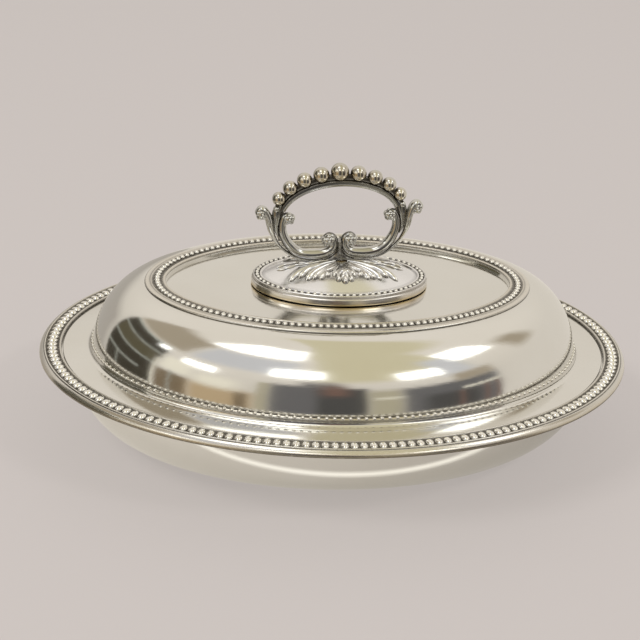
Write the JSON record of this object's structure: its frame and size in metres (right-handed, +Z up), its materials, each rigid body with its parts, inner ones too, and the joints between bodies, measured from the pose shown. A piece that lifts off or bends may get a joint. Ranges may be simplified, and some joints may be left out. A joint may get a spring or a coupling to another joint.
{
  "type": "covered serving dish",
  "caption": "Oval covered serving dish with beaded borders; the domed cover lifts off and its scrolled loop handle unlocks by a quarter turn.",
  "frame": {"origin": "middle of the flat face that the dish stands on", "axes": "+Z up; +X along the dish's length; -Y towards the side seen in the picture"},
  "size_m": [0.291, 0.223, 0.1395],
  "materials": {
    "spun_silver": "polished silver plate, lightly scratched",
    "moulded_silver": "polished silver plate, tarnished in the hollows and worn warm on the edges",
    "bead_silver": "polished silver plate",
    "cast_silver": "polished silver plate on a casting, tarnished in the recesses",
    "lock_brass": "turned brass",
    "spring_brass": "rolled spring brass"
  },
  "bodies": {
    "dish": {"dish_bowl": "spun_silver", "dish_border": "moulded_silver", "dish_bead_row": "bead_silver"},
    "cover": {"cover_shell": "spun_silver", "cover_foot_wire": "moulded_silver", "cover_top_border": "moulded_silver", "cover_bead_row": "bead_silver", "slotted_plate": "lock_brass", "socket_cup": "spun_silver"},
    "handle": {"handle_plaque": "moulded_silver", "plaque_bead_row": "bead_silver", "acanthus_spray_front": "cast_silver", "acanthus_spray_back": "cast_silver", "scroll_arm_left": "cast_silver", "scroll_arm_right": "cast_silver", "handle_arch": "cast_silver", "locking_stud": "lock_brass", "stud_nut": "lock_brass", "spring_washer": "spring_brass"}
  },
  "joints": [
    {"name": "cover_lift", "type": "slide", "parent": "dish", "child": "cover", "axis": [0, 0, 1], "range_m": [0, 0.12]},
    {"name": "handle_turn", "type": "hinge", "parent": "cover", "child": "handle", "pos_m": [0, 0, 0.0765], "axis": [0, 0, 1], "range_deg": [0, 90]}
  ]
}
